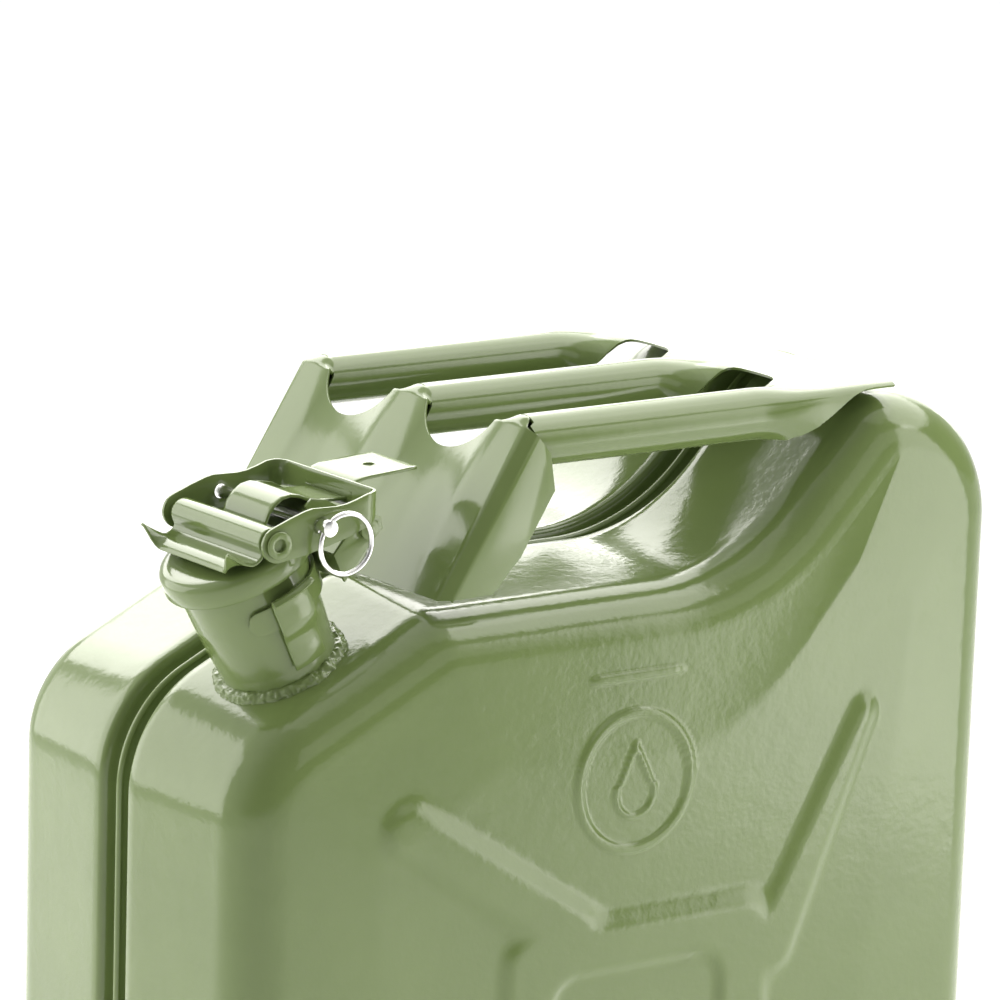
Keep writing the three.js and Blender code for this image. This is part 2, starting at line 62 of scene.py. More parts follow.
# ---- materials ------------------------------------------------------------------------------
class Nodes:
    """Builds a node material in a few lines."""

    def __init__(self, name):
        self.material = bpy.data.materials.new(name)
        self.material.use_nodes = True
        self.tree = self.material.node_tree
        self.shader = self.tree.nodes["Principled BSDF"]
        self.where = self.tree.nodes.new("ShaderNodeTexCoord").outputs["Object"]

    def join(self, a, b):
        self.tree.links.new(a, b)

    def noise(self, scale, detail=2.0, rough=0.5):
        n = self.tree.nodes.new("ShaderNodeTexNoise")
        n.inputs["Scale"].default_value = scale
        n.inputs["Detail"].default_value = detail
        n.inputs["Roughness"].default_value = rough
        self.join(self.where, n.inputs["Vector"])
        return n.outputs["Fac"]

    def ramp(self, value, *stops):
        n = self.tree.nodes.new("ShaderNodeValToRGB")
        while len(n.color_ramp.elements) < len(stops):
            n.color_ramp.elements.new(0.5)
        for element, (at, colour) in zip(n.color_ramp.elements, stops):
            element.position = at
            element.color = (*colour, 1.0)
        self.join(value, n.inputs["Fac"])
        return n.outputs["Color"]

    def span(self, value, low, high):
        n = self.tree.nodes.new("ShaderNodeMapRange")
        n.inputs["To Min"].default_value = low
        n.inputs["To Max"].default_value = high
        self.join(value, n.inputs["Value"])
        return n.outputs["Result"]

    def bump(self, *layers):
        normal = None
        for height, strength, distance in layers:
            n = self.tree.nodes.new("ShaderNodeBump")
            n.inputs["Strength"].default_value = strength
            n.inputs["Distance"].default_value = distance
            self.join(height, n.inputs["Height"])
            if normal:
                self.join(normal, n.inputs["Normal"])
            normal = n.outputs["Normal"]
        self.join(normal, self.shader.inputs["Normal"])

    def put(self, **values):
        for key, value in values.items():
            self.shader.inputs[key.replace("_", " ")].default_value = value


def paint(name, low=(0.122, 0.170, 0.054), high=(0.140, 0.192, 0.064), peel=1.0):
    """Gloss paint; peel sets the height of its orange peel."""
    m = Nodes(name)
    m.join(m.ramp(m.noise(14, 4, 0.6), (0.3, low), (0.7, high)), m.shader.inputs["Base Color"])
    m.join(m.span(m.noise(60, 3), 0.10, 0.17), m.shader.inputs["Roughness"])
    m.bump((m.noise(110, 1.5), 0.22, 0.0005 * peel), (m.noise(420, 2), 0.3, 0.0002 * peel))
    m.put(Specular_IOR_Level=0.5)
    return m.material


def zinc(name):
    m = Nodes(name)
    m.join(m.ramp(m.noise(300, 3), (0.3, (0.70, 0.70, 0.69)), (0.7, (0.86, 0.86, 0.85))),
           m.shader.inputs["Base Color"])
    m.join(m.span(m.noise(900, 2), 0.12, 0.26), m.shader.inputs["Roughness"])
    m.bump((m.noise(1200, 2), 0.2, 0.00004))
    m.put(Metallic=1.0)
    return m.material


def rubber(name):
    m = Nodes(name)
    m.join(m.ramp(m.noise(400, 3), (0.3, (0.012, 0.012, 0.012)), (0.7, (0.024, 0.023, 0.022))),
           m.shader.inputs["Base Color"])
    m.join(m.span(m.noise(200, 3), 0.55, 0.75), m.shader.inputs["Roughness"])
    m.bump((m.noise(1500, 2), 0.3, 0.00006))
    return m.material


PAINT = paint("paint_sage")
PAINT_SMALL = paint("paint_sage_small", peel=0.35)
PAINT_WELD = paint("paint_sage_weld", (0.110, 0.152, 0.048), (0.150, 0.204, 0.070), 2.2)
ZINC = zinc("zinc_bright")
RUBBER = rubber("gasket_rubber")
FINISH = {"paint": PAINT_SMALL, "zinc": ZINC, "gasket": RUBBER}
SLOT_OF = {s["node"]: s["material_slot"] for s in frame["record"]["subparts"]}
BODY_OF = {n: b for b, ns in frame["record"]["behaviour"]["bodies"].items() for n in ns}


# ---- making pieces --------------------------------------------------------------------------
class Editing:
    """Opens a mesh in bmesh and writes it back at the end."""

    def __init__(self, mesh):
        self.mesh = mesh

    def __enter__(self):
        self.bm = bmesh.new()
        self.bm.from_mesh(self.mesh)
        return self.bm

    def __exit__(self, *_):
        self.bm.to_mesh(self.mesh)
        self.bm.free()


def new_object(name, data):
    obj = bpy.data.objects.new(name, data)
    scene.collection.objects.link(obj)
    return obj


def finish(obj, nodes, material, angle=40):
    """Smooth shading, material, and its place in the frame."""
    mesh = obj.data
    mesh.materials.clear()
    mesh.materials.append(material)
    mesh.polygons.foreach_set("use_smooth", [True] * len(mesh.polygons))
    if angle:
        mesh.set_sharp_from_angle(angle=math.radians(angle))
    first = nodes[0]
    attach(obj, BODY_OF[first])
    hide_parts(*nodes)
    return obj


def build(name, verts, faces, nodes, material=PAINT_SMALL, angle=40):
    """A finished piece from points in millimetres."""
    mesh = bpy.data.meshes.new(name)
    mesh.from_pydata([tuple(c * MM for c in v) for v in verts], [], faces)
    obj = new_object(name, mesh)
    with Editing(mesh) as bm:
        bmesh.ops.remove_doubles(bm, verts=bm.verts, dist=1e-6)
        bmesh.ops.recalc_face_normals(bm, faces=bm.faces)
    return finish(obj, nodes, material, angle)


def apply(obj):
    """Bakes the object's modifiers into its mesh."""
    graph = bpy.context.evaluated_depsgraph_get()
    mesh = bpy.data.meshes.new_from_object(obj.evaluated_get(graph))
    obj.modifiers.clear()
    old, obj.data = obj.data, mesh
    bpy.data.meshes.remove(old)


def thicken(obj, thickness, offset=-1, even=True):
    solid = obj.modifiers.new("sheet", "SOLIDIFY")
    solid.thickness, solid.offset, solid.use_even_offset = thickness * MM, offset, even


def round_edges(obj, radius, limit=50):
    bevel = obj.modifiers.new("round", "BEVEL")
    bevel.width, bevel.segments = radius * MM, 2
    bevel.limit_method, bevel.angle_limit = "ANGLE", math.radians(limit)


def softened(node, radius):
    """A frame solid with its sharp edges rounded as sheet metal's are."""
    obj = new_object("soft_" + node, frame["nodes"][node].data.copy())
    with Editing(obj.data) as bm:
        bmesh.ops.remove_doubles(bm, verts=bm.verts, dist=2e-6)
        bmesh.ops.dissolve_limit(bm, angle_limit=math.radians(1.2), verts=bm.verts,
                                 edges=bm.edges, delimit={"NORMAL"})
    round_edges(obj, radius, 35)
    apply(obj)
    return finish(obj, [node], FINISH[SLOT_OF[node]])


def loft(rings, close_ring=True, close_rows=False, last=None):
    """Vertices and quads of a skin through rings of equal length, which last may close."""
    n, count = len(rings[0]), len(rings)
    verts = [p for ring in rings for p in ring]
    faces = []
    for i in range(count if close_rows else count - 1):
        a, b = i * n, ((i + 1) % count) * n
        for k in range(n if close_ring else n - 1):
            l = (k + 1) % n
            faces.append((a + k, a + l, b + l, b + k))
    if last is not None:
        verts.append(last)
        base = (count - 1) * n
        faces += [(len(verts) - 1, base + k, base + (k + 1) % n) for k in range(n)]
    return verts, faces


# ---- body outline: a polygon with rounded corners, drawn at any inset -----------------------
# x, z and radius of each corner, then the points on its arc and on the side after it
CORNERS = [(-HALF, 0, 45), (HALF, 0, 45), (HALF, HUMP_Z, 55), (106, HUMP_Z, 26),
           (50, FLOOR_Z, 80), (-SLOPE_X, FLOOR_Z, 30),
           (-HALF, FLOOR_Z - SLOPE * (HALF - SLOPE_X), 48)]
ARC_POINTS = [22, 22, 24, 16, 16, 12, 22]
SIDE_POINTS = [60, 84, 2, 8, 20, 14, 66]
LEAST_R = 2.5


def outline(inset, foot=None):
    """Points round the can, inset from its edge; the base has an inset of its own."""
    foot = inset if foot is None else foot
    n = len(CORNERS)
    lines = []
    for i, (x, z, _) in enumerate(CORNERS):
        x2, z2, _ = CORNERS[(i + 1) % n]
        d = math.hypot(x2 - x, z2 - z)
        nx, nz = -(z2 - z) / d, (x2 - x) / d
        lines.append((nx, nz, nx * x + nz * z + (foot if i == 0 else inset)))
    arcs = []
    for i, (_, _, r) in enumerate(CORNERS):
        p, q = lines[i - 1], lines[i]
        det = p[0] * q[1] - p[1] * q[0]
        x, z = (p[2] * q[1] - q[2] * p[1]) / det, (p[0] * q[2] - q[0] * p[2]) / det
        bend = 1 if det > 0 else -1
        radius = max(r - bend * inset, LEAST_R)
        share = bend * radius / (1 + p[0] * q[0] + p[1] * q[1])
        cx, cz = x + share * (p[0] + q[0]), z + share * (p[1] + q[1])
        a0 = math.atan2(-bend * p[1], -bend * p[0])
        turn = math.atan2(-bend * q[1], -bend * q[0]) - a0
        if bend > 0 > turn:
            turn += 2 * math.pi
        if bend < 0 < turn:
            turn -= 2 * math.pi
        m = ARC_POINTS[i]
        arcs.append([(cx + radius * math.cos(a0 + turn * k / (m - 1)),
                      cz + radius * math.sin(a0 + turn * k / (m - 1))) for k in range(m)])
    ring = []
    for i in range(n):
        ring += arcs[i]
        (x, z), (x2, z2) = arcs[i][-1], arcs[(i + 1) % n][0]
        m = SIDE_POINTS[i]
        ring += [(x + (x2 - x) * k / (m + 1), z + (z2 - z) * k / (m + 1))
                 for k in range(1, m + 1)]
    return np.array(ring)


def narrow(y):
    """The draft of the pressing: how much smaller the outline is at y."""
    return DRAFT * max(0, abs(y) - CHANNEL_HALF) / (FACE - EDGE_R - CHANNEL_HALF)


# ---- pressed relief of a face ---------------------------------------------------------------
# the arms of the cross: x, z and radius at their two ends
ARMS = ((-102, 328, 13.5, -30, 281, 14), (102, 345, 8.5, 62, 262, 14),
        (-102, 80, 13.5, -30, 127, 14), (102, 63, 8.5, 62, 146, 14))
RING_X, RING_Z, RING_MID = -3.5, 333, 25.0
def smooth(t):
    t = np.clip(t, 0, 1)
    return t * t * (3 - 2 * t)


def bar_distance(x, z, x0, z0, r0, x1, z1, r1):
    """Distance outside a bar with round ends of two radii."""
    dx, dz = x1 - x0, z1 - z0
    t = np.clip(((x - x0) * dx + (z - z0) * dz) / (dx * dx + dz * dz), 0, 1)
    return np.hypot(x - x0 - t * dx, z - z0 - t * dz) - (r0 + (r1 - r0) * t)


def box_distance(x, z, x0, x1, z0, z1, r):
    """Distance outside a box with corners of radius r."""
    qx = np.abs(x - (x0 + x1) / 2) - (x1 - x0) / 2 + r
    qz = np.abs(z - (z0 + z1) / 2) - (z1 - z0) / 2 + r
    outside = np.hypot(np.maximum(qx, 0), np.maximum(qz, 0))
    return outside + np.minimum(np.maximum(qx, qz), 0) - r


def blend(a, b, k):
    """The nearer of two distances, with the joint rounded over k."""
    h = np.clip(0.5 + 0.5 * (b - a) / k, 0, 1)
    return b + (a - b) * h - k * h * (1 - h)


def relief(x, z):
    """Height of the face's pressings: cross, panel, ring, bar and drop."""
    cross = box_distance(x, z, -63, 64, 121, 287, 16)
    for arm in ARMS:
        cross = blend(cross, bar_distance(x, z, *arm), 7)
    h = RAISED * smooth(-cross / 8.0)
    h = h - RAISED * smooth(-box_distance(x, z, -41, 41, 141, 267, 15) / 6.0)
    ring = np.abs(np.hypot(x - RING_X, z - RING_Z) - RING_MID) - 2.3
    h = h + 0.8 * smooth(-ring / 1.3)
    h = h + 0.8 * smooth(-bar_distance(x, z, -21, 371.5, 2.3, 15, 371.5, 2.3) / 1.3)
    # a drop, drawn as a raised line: a circle below and a straight side above
    u, v, r = np.abs(x - RING_X), z - 328.5, 8.5
    drop = np.where(v > 0.42 * r, (u * 0.9 + (v - 17.5) * 0.436), np.hypot(u, v) - r)
    return h + 0.75 * smooth((1.5 - np.abs(drop)) / 1.1)


# ---- body -----------------------------------------------------------------------------------
CROWN, CROWN_WIDE, CROWN_SCALE = 2.2, 42.0, 0.93
CENTRE = np.array((0.0, 215.0))
# distance from the middle plane and inset, from the lip through the channel to the side
SECTION = [(0.15, LIP_TIP + 4), (0.15, LIP_TIP), (LIP_HALF, LIP_TIP), (LIP_HALF, 6.7),
           (LIP_HALF + 0.4, 7.0), (5.0, 7.0), (6.0, 6.75), (6.7, 6.1), (7.1, 5.2), (7.35, 4.2),
           (7.6, 3.1), (7.95, 2.1), (8.5, 1.25), (9.2, 0.65), (10.0, 0.32)]
SIDE_FROM, SIDE_INSET = SECTION[-1]
SIDE_ROWS = EDGE_ROWS = 14
FACE_ROWS = 118
BODY_SHEET = 0.9
HOLE_R = 21.4                    # the opening under the filler
FINE = (-38.0, 31.0, 299.0, 381.0)
FINE_CUTS = 2
FACE_FROM = 0.07                 # only the face is further out than this, in metres


def filler(u, v, h):
    """A place on the filler: along the slope, across, and out along its axis."""
    a = math.radians(SLOPE_DEG)
    return Vector((NECK_X + u * math.cos(a) - h * math.sin(a), NECK_Y + v,
                   FLOOR_Z - SLOPE * (-SLOPE_X - NECK_X) + u * math.sin(a) + h * math.cos(a)))


FILLER_BASE = filler(0, 0, 0)
FILLER_AXIS = (filler(0, 0, 1) - FILLER_BASE).normalized()


def smooth_ramp(t):
    """A straight ramp with its far end eased."""
    t = np.clip(t, 0, 1)
    return np.where(t < 0.85, t / 0.925, 1 - (1 - t) ** 2 / (0.15 * 0.925 * 2))


def crown(x, z, rim):
    """How far the face stands below its flat middle, near its edge."""
    off = rim - CENTRE
    angle = np.arctan2(off[:, 1], off[:, 0])
    order = np.argsort(angle)
    edge = np.interp(np.arctan2(z - CENTRE[1], x - CENTRE[0]), angle[order],
                     np.hypot(*off.T)[order], period=2 * math.pi)
    depth = (edge - np.hypot(x - CENTRE[0], z - CENTRE[1])) * CROWN_SCALE
    return -CROWN * (1 - smooth_ramp(depth / CROWN_WIDE))


def refine(obj, side, rim):
    """Splits the face mesh round the small pressings and lays the relief on it again."""
    x0, x1, z0, z1 = (c * MM for c in FINE)

    def fine(v):
        return x0 < v.co.x < x1 and z0 < v.co.z < z1 and v.co.y * side > FACE_FROM

    with Editing(obj.data) as bm:
        edges = [e for e in bm.edges if all(fine(v) for v in e.verts)]
        bmesh.ops.subdivide_edges(bm, edges=edges, cuts=FINE_CUTS, use_grid_fill=True)
        inside = [v for v in bm.verts if fine(v)]
        x, z = (np.array([getattr(v.co, k) / MM for v in inside]) for k in "xz")
        for v, h in zip(inside, relief(x, z) + crown(x, z, rim)):
            v.co.y = side * (FACE + h) * MM


def under_filler(p):
    d = Vector(p) - FILLER_BASE
    along = d.dot(FILLER_AXIS)
    return abs(along) < 20 and (d - along * FILLER_AXIS).length < HOLE_R


def body_half(name, side, nodes):
    """One pressed half, from the seam lip out to the middle of its face."""
    rings = []

    def put(y, inset, foot):
        rings.append([(x, side * y, z) for x, z in outline(inset, foot)])

    for y, inset in SECTION:
        put(y, inset, inset)
    edge = FACE - CROWN - EDGE_R
    for k in range(1, SIDE_ROWS + 1):
        y = SIDE_FROM + (edge - SIDE_FROM) * k / SIDE_ROWS
        fading = SIDE_INSET * max(0, 1 - (y - SIDE_FROM) / 4)
        put(y, narrow(y) + fading, fading)
    last = narrow(edge)
    for k in range(1, EDGE_ROWS + 1):
        a = math.radians(90 * k / EDGE_ROWS)
        r = EDGE_R * (1 - math.cos(a))
        put(edge + EDGE_R * math.sin(a), last + r, r)
    rim = outline(last + EDGE_R, EDGE_R)
    for k in range(1, FACE_ROWS):
        ring = CENTRE + (rim - CENTRE) * (1 - k / FACE_ROWS)
        h = relief(ring[:, 0], ring[:, 1]) + crown(ring[:, 0], ring[:, 1], rim)
        rings.append([(x, side * (FACE + d), z) for (x, z), d in zip(ring, h)])
    middle = float(relief(CENTRE[:1], CENTRE[1:])[0])
    verts, faces = loft(rings, last=(CENTRE[0], side * (FACE + middle), CENTRE[1]))
    if side < 0:
        inside = {i for i, p in enumerate(verts) if under_filler(p)}
        faces = [f for f in faces if not all(i in inside for i in f)]
    obj = build(name, verts, faces, nodes, PAINT, angle=60)
    with Editing(obj.data) as bm:
        loose = [v for v in bm.verts if not v.link_faces]
        bmesh.ops.delete(bm, geom=loose, context="VERTS")
    refine(obj, side, rim)
    thicken(obj, BODY_SHEET, even=False)
    apply(obj)
    return finish(obj, nodes, PAINT, angle=60)


body_half("body_near", -1, ["shell_near"])
body_half("body_far", 1, ["shell_far"])

# seam bead: a rounded strip over the two lips
rings = []
for k in range(9):
    a = math.pi * k / 8
    ring = outline(LIP_TIP - 0.15 - 1.5 * math.sin(a))
    rings.append([(x, -(LIP_HALF + 0.25) * math.cos(a), z) for x, z in ring])
rings += [[(x, y, z) for x, z in outline(LIP_TIP + 0.3)] for y in (0.9, -0.9)]
verts, faces = loft(rings, close_rows=True)
build("seam_bead", verts, faces, ["seam_weld"], PAINT, angle=70)


# ---- filler neck ----------------------------------------------------------------------------
def turned(name, profile, nodes, material=PAINT_SMALL, segments=96, closed=True, warp=None,
           angle=40):
    """A profile of (radius, height) turned about the filler's axis."""
    rings = []
    for i in range(segments):
        a = 2 * math.pi * i / segments
        ring = []
        for j, (r, h) in enumerate(profile):
            u, v = r * math.cos(a), r * math.sin(a)
            if warp:
                u, v, h = warp(u, v, h, a, j)
            ring.append(filler(u, v, h))
        rings.append(ring)
    verts, faces = loft(rings, close_ring=closed, close_rows=True)
    return build(name, verts, faces, nodes, material, angle)


def fillet(points, radius, steps=4):
    """Rounds the corners of a closed profile."""
    out, n = [], len(points)
    for i, p in enumerate(points):
        p = Vector(p)
        a, b = Vector(points[i - 1]) - p, Vector(points[(i + 1) % n]) - p
        r = min(radius, a.length * 0.45, b.length * 0.45)
        s, e = p + a.normalized() * r, p + b.normalized() * r
        for k in range(steps + 1):
            t = k / steps
            out.append(tuple(s.lerp(p, t).lerp(p.lerp(e, t), t)))
    return out


turned("filler_neck", fillet([(20.0, -8), (21.0, -8), (21.0, 3), (22.6, 22), (23.0, 32),
                              (23.2, NECK_TOP - 2), (24.0, NECK_TOP - 0.9),
                              (24.0, NECK_TOP), (22.0, NECK_TOP), (21.8, 32),
                              (21.5, 22), (20.0, 3)], 0.8), ["neck"])


BEAD_HIDDEN = (0, 9, 10)         # points of the bead's profile that stay inside the sheet


def ragged(u, v, h, a, j):
    """The lumps of a weld; the bead sits on the drafted side of the can."""
    p = filler(u, v, h)
    lump = noise.noise(p * 0.25) * 1.1 + noise.noise(p * 0.8 + Vector((7, 3, 1))) * 0.8
    loose = 0.0 if j in BEAD_HIDDEN else 1.0
    grow = 1 + lump * 0.03 * loose
    return u * grow, v * grow, h + lump * 0.55 * loose - narrow(NECK_Y + v)


arc = [(21.0 + 3.2 * math.cos(math.radians(t)), 0.1 + 2.6 * math.sin(math.radians(t)))
       for t in range(0, 91, 12)]
turned("neck_bead", [(24.6, -0.6)] + arc + [(20.8, 2.8), (20.8, -0.6)], ["neck_weld"],
       PAINT_WELD, segments=260, warp=ragged, angle=75)

cap_profile = [(0.01, CAP_TOP - 0.6), (CAP_R - 9, CAP_TOP - 0.3), (CAP_R - 4.5, CAP_TOP),
               (CAP_R - 2.2, CAP_TOP - 0.2), (CAP_R - 0.8, CAP_TOP - 1.1),
               (CAP_R, CAP_TOP - 2.6), (CAP_R, CAP_LOW + 0.5), (CAP_R - 0.3, CAP_LOW),
               (CAP_R - 0.9, CAP_LOW + 0.1), (CAP_R - 1.1, CAP_LOW + 0.6),
               (CAP_R - 1.1, CAP_TOP - 2.6), (CAP_R - 2.4, CAP_TOP - 1.3),
               (0.01, CAP_TOP - 1.5)]
turned("filler_cap", cap_profile, ["cap"], closed=False, segments=120, angle=50)
turned("gasket_ring", fillet([(16, NECK_TOP + 0.3), (24.4, NECK_TOP + 0.3),
                              (24.4, CAP_TOP - 1.9), (16, CAP_TOP - 1.9)], 0.7),
       ["cap_gasket"], RUBBER)

# ---- small pieces that keep the frame's shape -----------------------------------------------
for node, radius in (("hinge_bracket", 0.35), ("hinge_pin", 0.5), ("vent_clip", 0.3),
                     ("vent_tube", 0.2), ("hinge_arms", 0.35), ("pivot_tube", 0.35),
                     ("safety_pin", 0.7)):
    softened(node, radius)


# ---- handle: a sheet leant back at the front, three rolled bars, and a flat plate at the rear
LEAN = math.atan2(PLATE_HEAD[1] - PLATE_FOOT[1], PLATE_HEAD[0] - PLATE_FOOT[0])
RISE = math.hypot(PLATE_HEAD[0] - PLATE_FOOT[0], PLATE_HEAD[1] - PLATE_FOOT[1])
NOSE_R, FOLD_AT, SHEET = 7.0, 68.0, 1.0
FOLD_STEP, FOLD_TURN = 0.25, math.radians(45) / 2


def ease(t):
    """smooth() for a plain number."""
    t = min(max(t, 0.0), 1.0)
    return t * t * (3 - 2 * t)


def walk(length, bend, step=0.1):
    """Follows a line that starts level and turns bend(s) per mm; gives (across, down)."""
    angle = across = down = s = 0.0
    while s < length - 1e-9:
        d = min(step, length - s)
        angle += bend(s + d / 2) * d
        across += math.cos(angle) * d
        down += math.sin(angle) * d
        s += d
    return across, down


def fold_bend(s):
    """Two bends of 45 degrees, each 2 mm long."""
    return FOLD_TURN if s < 2 or 5.6 < s < 7.6 else 0


FOLD = [walk(k * FOLD_STEP, fold_bend) for k in range(121)]


def folded(u):
    """Across and behind the front sheet, for a distance u measured round its side fold."""
    over = abs(u) - FOLD_AT
    if over <= 0:
        return u, 0.0
    k = min(over / FOLD_STEP, len(FOLD) - 1.01)
    a, b = FOLD[int(k)], FOLD[int(k) + 1]
    f = k - int(k)
    return (math.copysign(FOLD_AT + a[0] + (b[0] - a[0]) * f, u),
            a[1] + (b[1] - a[1]) * f)


def on_slant(u, s):
    """A place on the front sheet: u across, s up from its foot and over its top bend."""
    y, behind = folded(u)
    centre = min((-BAR_Y, 0, BAR_Y), key=lambda c: abs(c - u))
    if s > RISE:
        turn = min((s - RISE) / NOSE_R, LEAN)
        x = PLATE_HEAD[0] + NOSE_R * (math.sin(LEAN) - math.sin(LEAN - turn))
        z = PLATE_HEAD[1] + NOSE_R * (math.cos(LEAN - turn) - math.cos(LEAN))
        drop = BAR_R - math.sqrt(max(BAR_R ** 2 - min(abs(u - centre), 9) ** 2, 0))
        z -= drop * 0.8 * ease((s - RISE) / 5)
    else:
        x = PLATE_FOOT[0] + s * math.cos(LEAN)
        z = PLATE_FOOT[1] + s * math.sin(LEAN)
    return x + behind * math.sin(LEAN), y, z - behind * math.cos(LEAN)


SCOOP_R, SCOOP_S = 21.8, 75.2


def scoop(centre):
    """The round cut between two bars."""
    return [(centre + SCOOP_R * math.cos(math.radians(a)),
             SCOOP_S + SCOOP_R * math.sin(math.radians(a))) for a in range(-13, -168, -5)]


def tongue(centre):
    """The top of the sheet where a bar meets it."""
    half = [(8.6, 72.6), (6.2, 74.1), (3, 74.8)]
    return [(centre + a, b) for a, b in half + [(-a, b) for a, b in half[::-1]]]


side_up = [(69, 0.2), (74.4, 2.8), (88.4, 12.0), (89.2, 14.2), (90.5, 22.3), (92.0, 28.3),
           (92.0, 54.8), (83.0, 64.9), (74.6, 67.6), (70.5, 68.8), (69, 69.6), (67.4, 71.8),
           (65.4, 73.8), (62.5, 74.8), (59, 74.8), (55.8, 74.1), (53.4, 72.6)]
contour = (side_up + scoop(31) + tongue(0) + scoop(-31)
           + [(-u, s) for u, s in reversed(side_up)])
across_cuts = [-75.6, -74.6, -73.6, -70, -69, -68, -62, -31, 0, 31, 62, 68, 69, 70, 73.6, 74.6,
               75.6]
across_cuts += [u + c for c in (-62, 0, 62) for u in (-7.5, -5, -2.5, 2.5, 5, 7.5)]
cuts = [((u, 0, 0), (1, 0, 0)) for u in across_cuts]
cuts += [((0, RISE + d, 0), (0, 1, 0)) for d in range(7)]
front = new_object("handle_sheet_front", bpy.data.meshes.new("handle_sheet_front"))
with Editing(front.data) as bm:
    bm.faces.new([bm.verts.new((u, s, 0)) for u, s in contour])
    for at, normal in cuts:
        bmesh.ops.bisect_plane(bm, geom=bm.verts[:] + bm.edges[:] + bm.faces[:], plane_co=at,
                               plane_no=normal, dist=1e-5)
    for v in bm.verts:
        v.co = Vector(on_slant(v.co.x, v.co.y)) * MM
    bmesh.ops.recalc_face_normals(bm, faces=bm.faces)
    if sum(f.normal.x * f.calc_area() for f in bm.faces) > 0:
        bmesh.ops.reverse_faces(bm, faces=bm.faces)
    bmesh.ops.triangulate(bm, faces=[f for f in bm.faces if len(f.verts) > 4])
thicken(front, SHEET)
round_edges(front, 0.3)
apply(front)
finish(front, ["handle_front"], PAINT_SMALL, angle=55)

OPEN_FROM, OPEN_TO, PLATE_FROM, PLATE_END = 56.0, 86.0, 74.0, 118.0
CORNER_R = 5.0                        # bend at the outer edge of the opened sheet
ROLL = math.pi * BAR_R - 0.7          # half the width of the sheet in one bar
# how far a strip reaches towards its neighbour, and how deep its outer leg hangs, along x
REACH = [(56, ROLL), (62, 25), (68, 20.5), (74, 18), (79, 17.2), (82, 17.8), (83.5, 19.5),
         (84.3, 22.5), (84.8, 31), (PLATE_END, 31)]
LEG = [(50, 19), (70, 18.5), (78, 15), (84, 11.5), (91, 7), (98, 3), (104, 1.4),
       (PLATE_END, 1.2)]


def opened(x):
    """0 where a bar is fully rolled, 1 where its sheet is flat."""
    return ease((x - OPEN_FROM) / (OPEN_TO - OPEN_FROM))


def across_bar(x, s, outer):
    """Place on the strip at a distance s from its top line, at x: (outwards, down)."""
    w = opened(x)
    flat_until = HANDLE_HALF - BAR_Y - CORNER_R
    flat_from = flat_until + math.pi / 2 * CORNER_R

    def bend(at):
        rest = 1 / CORNER_R if outer and flat_until < at < flat_from else 0.0
        return (1 - w) / BAR_R + w * rest

    return walk(s, bend, 0.4)


def station(x, centre, points=20):
    """One cross-section of a strip, from one edge to the other."""
    top = BAR_Z + BAR_R + (REAR_Z - BAR_Z - BAR_R) * opened(x)
    line = []
    for sign in (-1, 1):
        outer = centre * sign > 0
        reach = ROLL if outer else float(np.interp(x, *zip(*REACH)))
        if outer:
            limit = np.interp(x, *zip(*LEG))
            while reach > 3 and across_bar(x, reach, True)[1] > limit:
                reach -= 0.4
        half = []
        for k in range(points + 1):
            a, d = across_bar(x, reach * k / points, outer)
            half.append((x, centre + sign * a, top - d))
        line += half[::-1] if sign < 0 else half[1:]
    return line


def strip_object(name, nodes, strips):
    """One sheet from one or more strips, each a row of stations."""
    verts, faces = [], []
    for rows in strips:
        points, quads = loft(rows, close_ring=False)
        faces += [tuple(len(verts) + i for i in quad) for quad in quads]
        verts += points
    obj = build(name, verts, faces, nodes, PAINT_SMALL, angle=0)
    with Editing(obj.data) as bm:
        bmesh.ops.remove_doubles(bm, verts=bm.verts, dist=0.02 * MM)
        bmesh.ops.recalc_face_normals(bm, faces=bm.faces)
        if max(bm.faces, key=lambda f: f.calc_center_median().z).normal.z < 0:
            bmesh.ops.reverse_faces(bm, faces=bm.faces)
    thicken(obj, SHEET, even=False)
    apply(obj)
    return finish(obj, nodes, PAINT_SMALL, angle=60)


def nose(row):
    """Front end of a bar: its top meets the front sheet, its sides stop a little behind it."""
    out = []
    for _, y, z in row:
        down = BAR_Z + BAR_R - z
        slant = PLATE_FOOT[0] + (z - PLATE_FOOT[1]) / math.tan(LEAN)
        gap = 1.2 + 3.0 * ease((down - 2.0) / 4.0)
        out.append((max(slant + gap + 1.2, -44.2 if down < 2.5 else -70), y, z))
    return out


straight = [-38, -30, -15, 0, 15, 30, 44, 52]
opening = [OPEN_FROM + k for k in range(19)]
behind = [PLATE_FROM + k for k in range(9)]
behind += [82.8, 83.5, 83.9, 84.3, 84.5, 84.8, 86, 88, 91, 94, 97, 100, 104, 109, 114,
           PLATE_END]
for name, centre in (("near", -BAR_Y), ("mid", 0), ("far", BAR_Y)):
    rows = [nose(station(0, centre))] + [station(x, centre) for x in straight + opening]
    strip_object("bar_" + name, ["handle_bar_" + name], [rows])
strip_object("handle_sheet_rear", ["handle_rear"],
             [[station(x, c) for x in behind] for c in (-BAR_Y, 0, BAR_Y)])


# ---- closure --------------------------------------------------------------------------------
DRILL_LENGTH = 90


